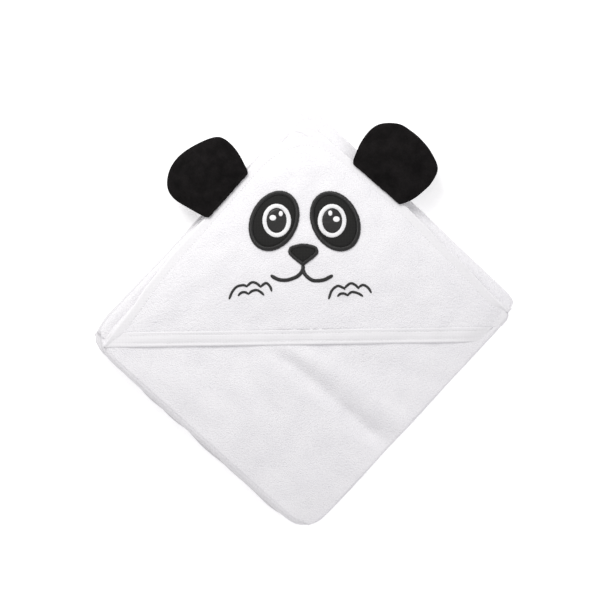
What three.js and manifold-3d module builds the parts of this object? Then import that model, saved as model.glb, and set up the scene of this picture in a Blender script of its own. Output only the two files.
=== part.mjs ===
// Hooded baby towel, folded flat: a terry square folded in three both ways, with a hood on its top corner
// that is a face with two padded ears. Millimetres, +Z up, the folded towel lies on Z = 0.
import * as THREE from "three";
import { mergeVertices } from "three/addons/utils/BufferGeometryUtils.js";
import Module from "manifold-3d";

const wasm = await Module();
wasm.setup();

// ---- driving dimensions ----
const TERRY = 2.4; // thickness of one layer of terry
const GAP = 0.3; // air between two layers
const HEM = 10; // width of the tape round the towel's edge
const TURN = -42.1; // degrees: how the folded square lies, its hood corner pointing to +Y
const CENTRE = [3.25, -6.25]; // middle of the folded square
const BACK_FOLD_V = 136; // fold between the back and the middle third
const FRONT_FOLD_V = -131; // fold between the middle and the front third
const FRONT_HEM_V = 129;
const BACK_HEM_V = -134.5;
const FRONT_U = [-126, 124]; // sides of the front third, across the folds
const UNDER_U = [-130, 122]; // sides of the middle and the back third
const FOLD_CLEAR = 0.5; // the layers stop this far short of a fold's axis
const CORNER_R = 8; // rounding of the folded corners
const MOUTH_LEFT = [-176, -26]; // the crease under the hood's open edge
const MOUTH_RIGHT = [158, -21];
const BAND = 13.9; // width of the bound edge of the hood's mouth
const BAND_THICK = 3.2;
const SEAM_TAPE = 9; // width of the tape over each of the hood's seams
const SEAM_THICK = 4.3;
const POCKET = 5; // room inside the hood
const HOOD_SLOPE = 18; // run over which the hood rises from its seams
const GRID = 6; // step of the hood's curved surfaces
const EAR_AXIS_IN = 2.5; // the ear's root lies this far inside the seam's edge
const EAR_SKIN = 1.0;
const EAR_WADDING = 1.4;
const WADDING_IN = 3; // the wadding stops this far inside the ear's edge
const ROOT_R = 1.6; // rolled seam at the ear's root
const ROOT_CLEAR = 0.4;
const PATCH = 1.0; // thickness of the appliqué fabric
const SATIN = 1.8; // thickness of the satin stitching
const PATCH_BORDER = 4; // width of the satin stitching round an eye patch
const NOSE_BORDER = 3.2;

const PITCH = TERRY + GAP;
const THIRD = 3 * PITCH; // height of one folded third, with the air over it
const TOP_Z = 3 * THIRD - GAP; // top of the top layer
const TOP_LAYER_Z = TOP_Z - TERRY;
const HOOD_Z = TOP_Z + GAP; // underside of the hood's front at its seams
const HOOD_RISE = POCKET - GAP;
const FACE_Z = HOOD_Z + HOOD_RISE + TERRY + GAP;
const EAR_Z = TOP_LAYER_Z + SEAM_THICK + ROOT_CLEAR + ROOT_R; // height of the ears' root seams
const FAR = 400;

// ---- frames and small helpers ----
const turn = THREE.MathUtils.degToRad(TURN);
const U = [Math.cos(turn), Math.sin(turn)]; // across the folds
const V = [-U[1], U[0]]; // from the front fold towards the back fold
const at = (u, v) => [CENTRE[0] + u * U[0] + v * V[0], CENTRE[1] + u * U[1] + v * V[1]];
const uOf = (x, y) => (x - CENTRE[0]) * U[0] + (y - CENTRE[1]) * U[1];

// Points seen from a line: how far along it, and how far to its left.
function beside([ax, ay], [bx, by]) {
  const length = Math.hypot(bx - ax, by - ay);
  const [dx, dy] = [(bx - ax) / length, (by - ay) / length];
  return { length, angle: Math.atan2(dy, dx), place: (s, t) => [ax + s * dx - t * dy, ay + s * dy + t * dx] };
}

const group = new THREE.Group();
group.name = "hooded_baby_towel";
const look = (color, roughness) => new THREE.MeshStandardMaterial({ color, roughness });
const MATERIALS = {
  terry: look(0xf6f5f3, 0.95),
  tape: look(0xfaf9f7, 0.85),
  ear: look(0x1d1b1c, 0.95),
  wadding: look(0xe9e7e2, 1),
  patch: look(0x2a2829, 0.9),
  blackThread: look(0x151415, 0.6),
  whiteThread: look(0xfbfbfa, 0.6),
};

// A three.js geometry as a solid that can be cut and joined.
function solid(geometry) {
  const bare = new THREE.BufferGeometry();
  bare.setAttribute("position", (geometry.index ? geometry.toNonIndexed() : geometry).getAttribute("position"));
  const merged = mergeVertices(bare, 1e-3);
  return new wasm.Manifold(
    new wasm.Mesh({
      numProp: 3,
      vertProperties: merged.attributes.position.array,
      triVerts: new Uint32Array(merged.index.array),
    }),
  );
}

// Adds a solid to the group as a named mesh.
function add(name, part, material) {
  const mesh = part.getMesh();
  const positions = new Float32Array(mesh.numVert * 3);
  for (let i = 0; i < mesh.numVert; i++) {
    positions.set(mesh.vertProperties.subarray(i * mesh.numProp, i * mesh.numProp + 3), 3 * i);
  }
  const geometry = new THREE.BufferGeometry();
  geometry.setAttribute("position", new THREE.BufferAttribute(positions, 3));
  geometry.setIndex(new THREE.BufferAttribute(new Uint32Array(mesh.triVerts), 1));
  geometry.computeVertexNormals();
  const made = new THREE.Mesh(geometry, MATERIALS[material]);
  made.name = name;
  group.add(made);
}

const vectors = (points) => points.map(([x, y]) => new THREE.Vector2(x, y));

// A flat slab of an outline, with an optional hole.
function slab(outline, z, thick, hole) {
  const shape = new THREE.Shape(vectors(outline));
  if (hole) shape.holes.push(new THREE.Path(vectors(hole)));
  return solid(new THREE.ExtrudeGeometry(shape, { depth: thick, bevelEnabled: false }).translate(0, 0, z));
}

// A tall block over a plan outline, for cutting.
const block = (outline, z = -10, high = 100) => slab(outline, z, high);
const planOutline = (u0, u1, v0, v1) => [at(u0, v0), at(u1, v0), at(u1, v1), at(u0, v1)];

// A smooth line through points, closed or open.
function smooth(points, count, closed = false) {
  const curve = new THREE.CatmullRomCurve3(
    points.map(([x, y]) => new THREE.Vector3(x, y, 0)),
    closed,
    "centripetal",
  );
  const spaced = curve.getSpacedPoints(count).map((p) => [p.x, p.y]);
  return closed ? spaced.slice(0, -1) : spaced;
}

function ellipse([x, y], a, b, tilt = 0, count = 40) {
  const t = THREE.MathUtils.degToRad(tilt);
  return Array.from({ length: count }, (_, i) => {
    const phi = (2 * Math.PI * i) / count;
    const [p, q] = [a * Math.cos(phi), b * Math.sin(phi)];
    return [x + p * Math.cos(t) - q * Math.sin(t), y + p * Math.sin(t) + q * Math.cos(t)];
  });
}

// A closed outline moved inwards, corner by corner. The outline runs anticlockwise.
function inset(points, distance) {
  const n = points.length;
  return points.map((p, i) => {
    const [a, b] = [points[(i + n - 1) % n], points[(i + 1) % n]];
    const before = beside(a, p).angle;
    const after = beside(p, b).angle;
    const middle = before + Math.atan2(Math.sin(after - before), Math.cos(after - before)) / 2;
    const reach = distance / Math.cos(middle - before);
    return [p[0] - reach * Math.sin(middle), p[1] + reach * Math.cos(middle)];
  });
}

// ---- the folded body ----
// The end view of one third: three layers joined by a bend at each side, as one strip of cloth.
// The lower bend is on the side `bend`, +1 or -1, and the free ends stop short by `short` for the hem tape.
function serpentine(z, [uLow, uHigh], bend, short) {
  const outer = TERRY + GAP / 2;
  const inner = GAP / 2;
  const [low, high] = bend > 0 ? [uLow, uHigh] : [-uHigh, -uLow];
  const arc = (cx, cz, r, from, to) =>
    Array.from({ length: 11 }, (_, i) => {
      const a = THREE.MathUtils.degToRad(from + ((to - from) * i) / 10);
      return [cx + r * Math.cos(a), cz + r * Math.sin(a)];
    });
  const [left, right] = [low + outer, high - outer];
  const lowBend = z + outer;
  const highBend = lowBend + PITCH;
  const points = [
    [low + short, z],
    ...arc(right, lowBend, outer, -90, 90),
    ...arc(left, highBend, inner, 270, 90),
    [high - short, z + 2 * PITCH],
    [high - short, z + 2 * PITCH + TERRY],
    ...arc(left, highBend, outer, 90, 270),
    ...arc(right, lowBend, inner, 90, -90),
    [low + short, z + TERRY],
  ];
  return points.map(([u, h]) => [bend * u, h]);
}

// Runs an end view along the towel between two distances along V.
function run(endView, v0, v1) {
  const [x, y] = at(0, v1);
  const basis = new THREE.Matrix4().makeBasis(
    new THREE.Vector3(...U, 0),
    new THREE.Vector3(0, 0, 1),
    new THREE.Vector3(-V[0], -V[1], 0),
  );
  const shape = new THREE.Shape(vectors(endView));
  const geometry = new THREE.ExtrudeGeometry(shape, { depth: v1 - v0, bevelEnabled: false });
  return solid(geometry.applyMatrix4(basis.setPosition(x, y, 0)));
}

// A plan rectangle with rounded corners.
function roundedPlan([u0, u1], v0, v1) {
  const corners = [
    [u1 - CORNER_R, v0 + CORNER_R, -90],
    [u1 - CORNER_R, v1 - CORNER_R, 0],
    [u0 + CORNER_R, v1 - CORNER_R, 90],
    [u0 + CORNER_R, v0 + CORNER_R, 180],
  ];
  return corners.flatMap(([u, v, start]) =>
    Array.from({ length: 9 }, (_, i) => {
      const a = THREE.MathUtils.degToRad(start + (90 * i) / 8);
      return at(u + CORNER_R * Math.cos(a), v + CORNER_R * Math.sin(a));
    }),
  );
}

const mouth = beside(MOUTH_LEFT, MOUTH_RIGHT);
// A block over the strip between two distances above the mouth's crease.
function aboveMouth(low, high = FAR, z = -10, tall = 100) {
  const ends = [-60, mouth.length + 60];
  const outline = [mouth.place(ends[0], low), mouth.place(ends[1], low)];
  return slab([...outline, mouth.place(ends[1], high), mouth.place(ends[0], high)], z, tall);
}

// What lies at the level of the top layer from the mouth's crease to the apex belongs to the hood.
const bendStart = FRONT_U[1] - TERRY - 3 * GAP;
const hoodRoom = aboveMouth(0, FAR, TOP_LAYER_Z - GAP / 2).intersect(
  block(planOutline(-FAR, bendStart, -FAR, FAR)),
);

// name, height, sides, side of the lower bend, start and end along V, and which of them has the towel's hem
const THIRDS = [
  ["back", 0, UNDER_U, -1, BACK_HEM_V, BACK_FOLD_V - FOLD_CLEAR, "start"],
  ["middle", THIRD, UNDER_U, 1, FRONT_FOLD_V + FOLD_CLEAR, BACK_FOLD_V - FOLD_CLEAR, "none"],
  ["front", 2 * THIRD, FRONT_U, -1, FRONT_FOLD_V + FOLD_CLEAR, FRONT_HEM_V, "end"],
];

function addThird(name, z, sides, bend, v0, v1, hemAt) {
  const clip = block(roundedPlan(sides, v0, v1));
  const trim = (part) => (name === "front" ? part.intersect(clip).subtract(hoodRoom) : part.intersect(clip));
  const clothStart = hemAt === "start" ? v0 + HEM + GAP : v0;
  const clothEnd = hemAt === "end" ? v1 - HEM - GAP : v1;
  const cloth = run(serpentine(z, sides, bend, HEM + GAP), clothStart, clothEnd);
  add(name + "_third_terry", trim(cloth), "terry");
  if (hemAt !== "none") {
    const start = hemAt === "start" ? v0 : v1 - HEM;
    add(name + "_third_end_hem", trim(run(serpentine(z, sides, bend, 0), start, start + HEM)), "tape");
  }
  // The free side edges: the bottom layer ends opposite the lower bend, the top layer on the bend's side.
  for (const [layer, side] of [[0, -bend], [2, bend]]) {
    if (name === "front" && side < 0) continue; // that edge lies under the hood's seam tape
    const strip = side < 0 ? [sides[0], sides[0] + HEM] : [sides[1] - HEM, sides[1]];
    const hem = slab(planOutline(...strip, clothStart, clothEnd), z + layer * PITCH, TERRY);
    add(`${name}_third_side_hem_${side < 0 ? "left" : "right"}`, trim(hem), "tape");
  }
}
for (const third of THIRDS) addThird(...third);

// ---- the hood ----
// Its outer edge, anticlockwise from the right tip; both ends run on past the mouth, which cuts them off.
const HOOD_EDGE = [
  [229, -45],
  [179, 7],
  [135, 53],
  [90, 98],
  [67, 118.5],
  [44, 138],
  [30, 149.5],
  [17, 156],
  [3, 158],
  [-10, 156],
  [-24, 150],
  [-36, 141.5],
  [-47, 130],
  [-84.5, 88],
  [-119, 49],
  [-141, 20],
  [-163, -10],
  [-192, -50],
];
const CROWN_X = 3; // where the two seam tapes meet
const overFront = block(planOutline(-FAR, FRONT_U[1] - 1, FRONT_FOLD_V + 2.5, FAR));
const inFront = block(planOutline(-FAR, bendStart - GAP, FRONT_FOLD_V + 2.5, FAR));
const hoodInside = (distance) => block(inset(HOOD_EDGE, distance));
const insideTape = hoodInside(SEAM_TAPE + GAP);

function distanceToSeams(x, y) {
  let best = Infinity;
  for (let i = 0; i + 1 < HOOD_EDGE.length; i++) {
    const [ax, ay] = HOOD_EDGE[i];
    const [dx, dy] = [HOOD_EDGE[i + 1][0] - ax, HOOD_EDGE[i + 1][1] - ay];
    const t = THREE.MathUtils.clamp(((x - ax) * dx + (y - ay) * dy) / (dx * dx + dy * dy), 0, 1);
    best = Math.min(best, Math.hypot(x - ax - t * dx, y - ay - t * dy));
  }
  return best;
}

// How far the hood's front stands up over its seams at a place.
function hoodLift(x, y) {
  const fromTape = distanceToSeams(x, y) - SEAM_TAPE;
  const fromSide = FRONT_U[1] - 1 - uOf(x, y);
  return HOOD_RISE * THREE.MathUtils.smoothstep(Math.min(fromTape, fromSide), 0, HOOD_SLOPE);
}

// A sheet that follows the hood's front, from one height over its underside to another.
function overHood(above, thick) {
  const [x0, x1, y0, y1] = [-198, 204, -42, 168];
  const [columns, rows] = [(x1 - x0) / GRID, (y1 - y0) / GRID];
  const geometry = new THREE.BoxGeometry(x1 - x0, y1 - y0, thick, columns, rows, 1);
  geometry.translate((x0 + x1) / 2, (y0 + y1) / 2, HOOD_Z + above + thick / 2);
  const position = geometry.attributes.position;
  for (let i = 0; i < position.count; i++) {
    position.setZ(i, position.getZ(i) + hoodLift(position.getX(i), position.getY(i)));
  }
  return solid(geometry);
}

const backPanel = slab(inset(HOOD_EDGE, SEAM_TAPE + GAP), TOP_LAYER_Z, TERRY);
add("hood_back_panel", backPanel.intersect(aboveMouth(GAP)).intersect(inFront), "terry");
const hoodSheet = (above, thick, low, high) =>
  overHood(above, thick).intersect(aboveMouth(low, high)).intersect(overFront);
add("hood_front_panel", hoodSheet(0, TERRY, BAND + 2 * GAP, FAR).intersect(insideTape), "terry");
add("hood_mouth_band", hoodSheet(0, BAND_THICK, GAP, BAND + GAP).intersect(insideTape), "tape");
const stitched = hoodInside(SEAM_TAPE + GAP + 4);
for (const [name, height] of [["lower", 3.6], ["upper", 11]]) {
  const line = hoodSheet(BAND_THICK + 2 * GAP, 0.5, height, height + 0.9).intersect(stitched);
  add("mouth_band_stitching_" + name, line, "whiteThread");
}
const seams = slab(HOOD_EDGE, TOP_LAYER_Z, SEAM_THICK)
  .subtract(hoodInside(SEAM_TAPE))
  .intersect(aboveMouth(GAP))
  .intersect(inFront);
for (const [name, side] of [["left", -1], ["right", 1]]) {
  const [x0, x1] = [CROWN_X + (side * GAP) / 2, CROWN_X + side * FAR];
  add("hood_seam_tape_" + name, seams.intersect(block([[x0, -FAR], [x1, -FAR], [x1, FAR], [x0, FAR]])), "tape");
}

// ---- the ears ----
// The root is the line along which the ear is sewn in; the outline runs past it and is cut off there.
const EARS = {
  left: {
    root: [[-84.5, 88], [-47.5, 129.5]],
    outline: [
      [-76, 80], [-84.5, 88], [-99, 96], [-111, 103.5], [-117, 111.5], [-118, 121.5], [-114.5, 133], [-106, 143.5],
      [-92, 152.5], [-76.5, 158.5], [-67, 156.5], [-56.5, 146], [-47.5, 129.5], [-40, 121],
    ].reverse(),
  },
  right: {
    root: [[44, 138], [88, 99.8]],
    outline: [
      [80, 90], [87, 98.5], [97, 104], [106, 111], [113.5, 119], [118.5, 131.5], [112, 146.5], [103, 157.5],
      [94.5, 164.5], [86.5, 169.5], [76.5, 171], [66.5, 169.5], [58.5, 164], [50.5, 153], [44, 138], [36, 128],
    ],
  },
};

function addEar(name, { root, outline }) {
  const line = beside(...root);
  const start = ROOT_R + 2 * GAP - EAR_AXIS_IN; // the cloth begins just outside the rolled seam
  const outside = (from) =>
    block([line.place(-80, from), line.place(line.length + 80, from), line.place(line.length + 80, 200),
      line.place(-80, 200)]);
  const whole = smooth(outline, 56, true);
  const waddingZ = EAR_Z - EAR_WADDING / 2;
  const cover = (z) => slab(whole, z, EAR_SKIN).intersect(outside(start));
  add(name + "_ear_back_cover", cover(waddingZ - GAP - EAR_SKIN), "ear");
  const wadding = slab(inset(whole, WADDING_IN), waddingZ, EAR_WADDING);
  add(name + "_ear_wadding", wadding.intersect(outside(start + WADDING_IN)), "wadding");
  add(name + "_ear_front_cover", cover(waddingZ + EAR_WADDING + GAP), "ear");
  const roll = new THREE.CylinderGeometry(ROOT_R, ROOT_R, line.length - 3, 24);
  roll.rotateZ(Math.PI / 2 + line.angle);
  const [x, y] = line.place(line.length / 2, -EAR_AXIS_IN);
  add(name + "_ear_root_seam", solid(roll.translate(x, y, EAR_Z)), "ear");
}
for (const [name, ear] of Object.entries(EARS)) addEar(name, ear);

// ---- the face ----
const EYES = {
  left: { patch: [-24.5, 85], tilt: 64, eye: [-22.2, 85.3], big: [-25.5, 87.6], small: [-18.6, 91.2] },
  right: { patch: [28.7, 84.7], tilt: 116, eye: [26, 85.1], big: [29.7, 86.4], small: [24.4, 91.6] },
};
const PATCH_AXES = [27.5, 20.8];
const WHITE_AXES = [12.6, 15.3];
const PUPIL_AXES = [8.4, 10];

function addEye(name, { patch, tilt, eye, big, small }) {
  const grown = (centre, axes, by, angle = 0, count = 40) =>
    ellipse(centre, axes[0] + by, axes[1] + by, angle, count);
  const border = [grown(patch, PATCH_AXES, 0, tilt, 56), grown(patch, PATCH_AXES, -PATCH_BORDER, tilt, 56)];
  add(name + "_eye_patch_border", slab(border[0], FACE_Z, SATIN, border[1]), "blackThread");
  add(name + "_eye_patch", slab(grown(patch, PATCH_AXES, -PATCH_BORDER - GAP, tilt, 56), FACE_Z, PATCH), "patch");
  const eyeZ = FACE_Z + PATCH + GAP;
  const white = slab(grown(eye, WHITE_AXES, 0), eyeZ, PATCH, grown(eye, PUPIL_AXES, GAP));
  add(name + "_eye_white", white, "whiteThread");
  add(name + "_pupil", slab(grown(eye, PUPIL_AXES, 0), eyeZ, PATCH), "blackThread");
  const lightZ = eyeZ + PATCH + GAP;
  add(name + "_eye_highlight_large", slab(ellipse(big, 3, 2.5, 0, 20), lightZ, 0.5), "whiteThread");
  add(name + "_eye_highlight_small", slab(ellipse(small, 1.7, 2.3, 0, 20), lightZ, 0.5), "whiteThread");
}
for (const [name, eye] of Object.entries(EYES)) addEye(name, eye);

const NOSE = smooth(
  [
    [0.9, 47.6], [6, 48.8], [11.5, 52.6], [14, 57], [12.8, 62], [8, 65.2],
    [0.9, 65.6], [-6.2, 65.2], [-11, 62], [-12.2, 57], [-9.7, 52.6], [-4.2, 48.8],
  ],
  48,
  true,
);
add("nose_border", slab(NOSE, FACE_Z, SATIN, inset(NOSE, NOSE_BORDER)), "blackThread");
add("nose", slab(inset(NOSE, NOSE_BORDER + GAP), FACE_Z, PATCH), "patch");

// A line of stitching with round ends that narrows towards them.
function stroke(points, width, z, thick) {
  const line = smooth(points, 18);
  const radius = (i) => (width / 2) * (0.45 + 0.55 * Math.min(1, Math.min(i, line.length - 1 - i) / 5));
  const heading = (i) => beside(line[Math.max(0, i - 1)], line[Math.min(line.length - 1, i + 1)]).angle;
  const dot = (i, from) => [
    line[i][0] + radius(i) * Math.cos(heading(i) + from),
    line[i][1] + radius(i) * Math.sin(heading(i) + from),
  ];
  const last = line.length - 1;
  const indices = [...line.keys()];
  const cap = (i, start) => [1, 2, 3].map((k) => dot(i, start + (k * Math.PI) / 4));
  const outline = [
    ...indices.map((i) => dot(i, -Math.PI / 2)),
    ...cap(last, -Math.PI / 2),
    ...indices.reverse().map((i) => dot(i, Math.PI / 2)),
    ...cap(0, Math.PI / 2),
  ];
  return slab(outline, z, thick);
}
const strokes = (lines, width, thick) =>
  lines.map((line) => stroke(line, width, FACE_Z, thick)).reduce((joined, next) => joined.add(next));

const MOUTH = [
  [[0.6, 46.8], [0.4, 42.5], [-4, 37], [-12, 33.8], [-18.5, 33.6], [-23, 35], [-27.5, 37.8]],
  [[0.6, 43.5], [2.3, 38.7], [7.8, 33.9], [13, 33], [19.6, 34], [26.8, 37.8]],
];
add("mouth_stitching", strokes(MOUTH, 2.9, 1.2), "blackThread");

const TUFTS = {
  left_cheek_tuft_upper: [
    [[-63.8, 16.7], [-60.7, 23.7], [-56.6, 27.9], [-51, 29.1], [-47.5, 27.5]],
    [[-48.5, 27.8], [-44, 31.5], [-39.5, 30.6], [-35.6, 27]],
    [[-36.6, 27.4], [-31.6, 30.9], [-28, 28], [-26.4, 23.4]],
  ],
  left_cheek_tuft_lower: [
    [[-56, 19.6], [-53, 22.6], [-49.5, 22.9], [-46, 21]],
    [[-47, 21.2], [-43.6, 24], [-39.5, 24.8], [-36, 23], [-33, 20.2]],
  ],
  right_cheek_tuft_upper: [
    [[22.9, 16.7], [25.9, 24.6], [30.9, 28.4], [35.5, 26.9], [37.5, 25.2]],
    [[36.4, 26.4], [41.8, 30.6], [46, 29.4], [49.6, 25.8]],
    [[48.6, 26.8], [52.8, 29.3], [57.2, 27], [60.3, 22.2]],
  ],
  right_cheek_tuft_lower: [
    [[30.6, 19], [33, 21.4], [36.4, 21.8], [40.4, 19.8]],
    [[39.4, 20.2], [42.4, 22.9], [45.6, 23], [49.6, 21.6], [53.2, 19.2]],
  ],
};
for (const [name, lines] of Object.entries(TUFTS)) add(name, strokes(lines, 1.8, 0.8), "blackThread");

export default group;
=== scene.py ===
import math

import bpy
import numpy as np
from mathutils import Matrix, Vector


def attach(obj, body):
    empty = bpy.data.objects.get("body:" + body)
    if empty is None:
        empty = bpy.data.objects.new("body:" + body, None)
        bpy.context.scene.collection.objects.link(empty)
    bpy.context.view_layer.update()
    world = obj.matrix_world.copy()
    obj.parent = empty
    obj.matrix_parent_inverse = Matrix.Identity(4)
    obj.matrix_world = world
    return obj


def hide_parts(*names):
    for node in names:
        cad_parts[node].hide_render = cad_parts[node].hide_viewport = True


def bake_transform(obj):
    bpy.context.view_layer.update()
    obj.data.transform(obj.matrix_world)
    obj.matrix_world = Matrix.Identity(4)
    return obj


# Looks of the hooded baby towel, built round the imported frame. Shapes are worked out in millimetres in the
# frame's own axes and turned into metres when a mesh is made.
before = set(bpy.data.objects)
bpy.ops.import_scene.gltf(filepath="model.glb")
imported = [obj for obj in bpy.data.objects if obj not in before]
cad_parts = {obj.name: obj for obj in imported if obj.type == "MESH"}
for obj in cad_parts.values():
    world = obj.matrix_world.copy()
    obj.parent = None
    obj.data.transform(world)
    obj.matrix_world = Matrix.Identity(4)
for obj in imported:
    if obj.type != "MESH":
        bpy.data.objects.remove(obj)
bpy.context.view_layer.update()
MM = 0.001

# ---- sizes shared with the frame, in millimetres ----
TERRY = 2.4
GAP = 0.3
PITCH = TERRY + GAP
THIRD = 3 * PITCH
TOP_Z = 3 * THIRD - GAP
HEM = 10.0
TURN = math.radians(-42.1)
CENTRE = np.array([3.25, -6.25])
U = np.array([math.cos(TURN), math.sin(TURN)])
V = np.array([-U[1], U[0]])
FRONT_FOLD_V = -131.0
BACK_FOLD_V = 136.0
FRONT_U = (-126.0, 124.0)
UNDER_U = (-130.0, 122.0)
MOUTH_LEFT = np.array([-176.0, -26.0])
MOUTH_RIGHT = np.array([158.0, -21.0])
BAND = 14.0
SEAM_TAPE = 9.0
EAR_Z = 27.9
FOLD_INSET = 3.5  # how far the layers of a third stop short of a long fold
FRONT_ROOM = 3.6  # least distance from the front hinge line, past the top layer's own overhang
BACK_ROOM = 0.5  # the same at the back hinge line
FOLD_ROUND = 4.2  # how far the cloth of a long fold stands out past the layers' ends
FOLD_TAIL = 9.5  # how far that cloth runs in among the layers
TOP_TAIL = 12.0  # how far the top layer's bend runs on under the sheet that covers the front third
CLOTH_STEP = 5.0  # distance between the points of a plain cloth
HEM_END = 9.0  # how far a side tape stops short of an end tape
HOOD_EDGE_Z = 25.3  # height of the hood's outer surface at its edge
HOOD_RISE = 5.6  # how much higher it is in its middle
STITCH_EDGE = 0.15  # how far the edges of satin stitching sink into the pile
STITCH_FOOT = 0.5  # how far its underside sinks in


# ---------------------------------------------------------------- helpers
def ripple(x, y, wavelength, seed, count=7):
    """Smooth seeded noise between about -1 and 1, with features of that size."""
    rng = np.random.default_rng(seed)
    total = np.zeros(np.broadcast(x, y).shape)
    for _ in range(count):
        a = rng.uniform(0, 2 * math.pi)
        k = 2 * math.pi / (wavelength * rng.uniform(0.7, 1.5))
        total += np.cos(k * (x * math.cos(a) + y * math.sin(a)) + rng.uniform(0, 2 * math.pi))
    return total / math.sqrt(count)


def step(x, low, high):
    t = np.clip((x - low) / (high - low), 0, 1)
    return t * t * (3 - 2 * t)


def ridge(x, y, a, b, width, fade=18.0):
    """A soft ridge along the line from a to b: 1 on it, falling off to its sides and past its ends."""
    a, b = np.array(a, float), np.array(b, float)
    length = np.linalg.norm(b - a)
    d = (b - a) / length
    s = (x - a[0]) * d[0] + (y - a[1]) * d[1]
    t = -(x - a[0]) * d[1] + (y - a[1]) * d[0]
    past = np.maximum(np.maximum(-s, s - length), 0)
    return np.exp(-((t / width) ** 2)) * np.exp(-((past / fade) ** 2))


def spaced(low, high, pitch, edge=1.3):
    """Places from low to high, closer together at both ends so that a rounded edge has room to turn."""
    near = np.array([0.0, 0.12, 0.35, 0.7]) * edge
    count = max(2, int(round((high - low - 2 * edge) / pitch)) + 1)
    middle = np.linspace(low + edge, high - edge, count)
    return np.concatenate([low + near, middle, high - near[::-1]])


def to_plan(u, v):
    return CENTRE[0] + u * U[0] + v * V[0], CENTRE[1] + u * U[1] + v * V[1]


def from_plan(x, y):
    dx, dy = x - CENTRE[0], y - CENTRE[1]
    return dx * U[0] + dy * U[1], dx * V[0] + dy * V[1]


MOUTH_D = (MOUTH_RIGHT - MOUTH_LEFT) / np.linalg.norm(MOUTH_RIGHT - MOUTH_LEFT)


def above_mouth(x, y):
    """How far a place is along the mouth's crease, and how far above it."""
    dx, dy = x - MOUTH_LEFT[0], y - MOUTH_LEFT[1]
    return dx * MOUTH_D[0] + dy * MOUTH_D[1], -dx * MOUTH_D[1] + dy * MOUTH_D[0]


def mouth_place(along, above):
    return (
        MOUTH_LEFT[0] + along * MOUTH_D[0] - above * MOUTH_D[1],
        MOUTH_LEFT[1] + along * MOUTH_D[1] + above * MOUTH_D[0],
    )


def add_object(name, data):
    made = bpy.data.objects.new(name, data)
    bpy.context.scene.collection.objects.link(made)
    return made


def make(name, points, faces, material):
    """A smooth mesh of points in millimetres."""
    mesh = bpy.data.meshes.new(name)
    mesh.from_pydata((np.asarray(points, float) * MM).tolist(), [], [list(map(int, f)) for f in faces])
    mesh.validate()
    mesh.polygons.foreach_set("use_smooth", [True] * len(mesh.polygons))
    mesh.materials.append(material)
    return add_object(name, mesh)


def piece(made, body, slot, *nodes):
    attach(made, body)
    if nodes:
        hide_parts(*nodes)
    return made


def normals_of(grid):
    a = np.gradient(grid, axis=0)
    b = np.gradient(grid, axis=1)
    n = np.cross(a, b)
    return n / np.maximum(np.linalg.norm(n, axis=2, keepdims=True), 1e-9)


def edge_profile(places, round_r):
    """Share of the full thickness at each place along a side, rounded at both ends."""
    d = np.minimum(places - places[0], places[-1] - places)
    return np.sqrt(np.clip(1 - (1 - np.clip(d / round_r, 0, 1)) ** 2, 0, 1))


def sheet_mesh(name, grid, half, material):
    """A closed sheet of cloth round a grid of middle points. half is half its thickness at each point, and
    is 0 all along the rim, where the two sides meet."""
    rows, columns = grid.shape[:2]
    n = normals_of(grid)
    top = grid + n * half[..., None]
    low = grid - n * half[..., None]
    index = np.arange(rows * columns).reshape(rows, columns)
    under = index + rows * columns
    rim = np.zeros((rows, columns), bool)
    rim[[0, -1]] = True
    rim[:, [0, -1]] = True
    under[rim] = index[rim]
    faces = []
    for a, flip in ((index, False), (under, True)):
        q = np.stack([a[:-1, :-1], a[1:, :-1], a[1:, 1:], a[:-1, 1:]], axis=-1).reshape(-1, 4)
        faces.append(q[:, ::-1] if flip else q)
    faces = np.concatenate(faces)
    points = np.concatenate([top.reshape(-1, 3), low.reshape(-1, 3)])
    used = np.zeros(len(points), int)
    used[np.unique(faces)] = 1
    renumber = np.cumsum(used) - 1
    return make(name, points[used == 1], renumber[faces], material)


def lifted(places, z):
    """Places on the plan, each at its own height."""
    return np.concatenate([places, z[:, None]], 1)


def ring_faces(rows, count, closed=False):
    """Faces between rows of points that each run round a ring; closed joins the last row to the first."""
    faces = []
    for k in range(rows if closed else rows - 1):
        a, b = k * count, (k + 1) % rows * count
        for i in range(count):
            j = (i + 1) % count
            faces.append([a + i, a + j, b + j, b + i])
    return faces


def plain_half(rows_at, columns_at, thick, round_r=1.2):
    """Half the thickness of a sheet that is rounded off along all four sides."""
    return thick / 2 * edge_profile(rows_at, round_r)[:, None] * edge_profile(columns_at, round_r)[None, :]


def tube(centres, radii, sides):
    """A closed rod along centres, with its own radius at each, as points and faces."""
    centres = np.asarray(centres, float)
    tangent = np.gradient(centres, axis=0)
    tangent /= np.maximum(np.linalg.norm(tangent, axis=1, keepdims=True), 1e-9)
    side = np.cross(tangent, [0, 0, 1])
    side /= np.maximum(np.linalg.norm(side, axis=1, keepdims=True), 1e-9)
    up = np.cross(side, tangent)
    a = np.linspace(0, 2 * math.pi, sides, endpoint=False)
    spokes = np.cos(a)[None, :, None] * side[:, None] + np.sin(a)[None, :, None] * up[:, None]
    points = (centres[:, None] + radii[:, None, None] * spokes).reshape(-1, 3)
    faces = ring_faces(len(centres), sides)
    faces.append(list(range(sides))[::-1])
    faces.append([(len(centres) - 1) * sides + k for k in range(sides)])
    return points, faces


def join_parts(name, parts, material):
    points, faces, start = [], [], 0
    for p, f in parts:
        points.append(p)
        faces += [[i + start for i in face] for face in f]
        start += len(p)
    return make(name, np.concatenate(points), faces, material)


def strip_lengths(path):
    """How far along a line each of its points is."""
    return np.concatenate([[0], np.cumsum(np.linalg.norm(np.diff(path, axis=0), axis=1))])


def resample(line, count):
    """count places along a line of points, evenly spaced."""
    far = strip_lengths(line)
    at = np.linspace(0, far[-1], count)
    return np.stack([np.interp(at, far, line[:, k]) for k in range(line.shape[1])], axis=1)


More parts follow.
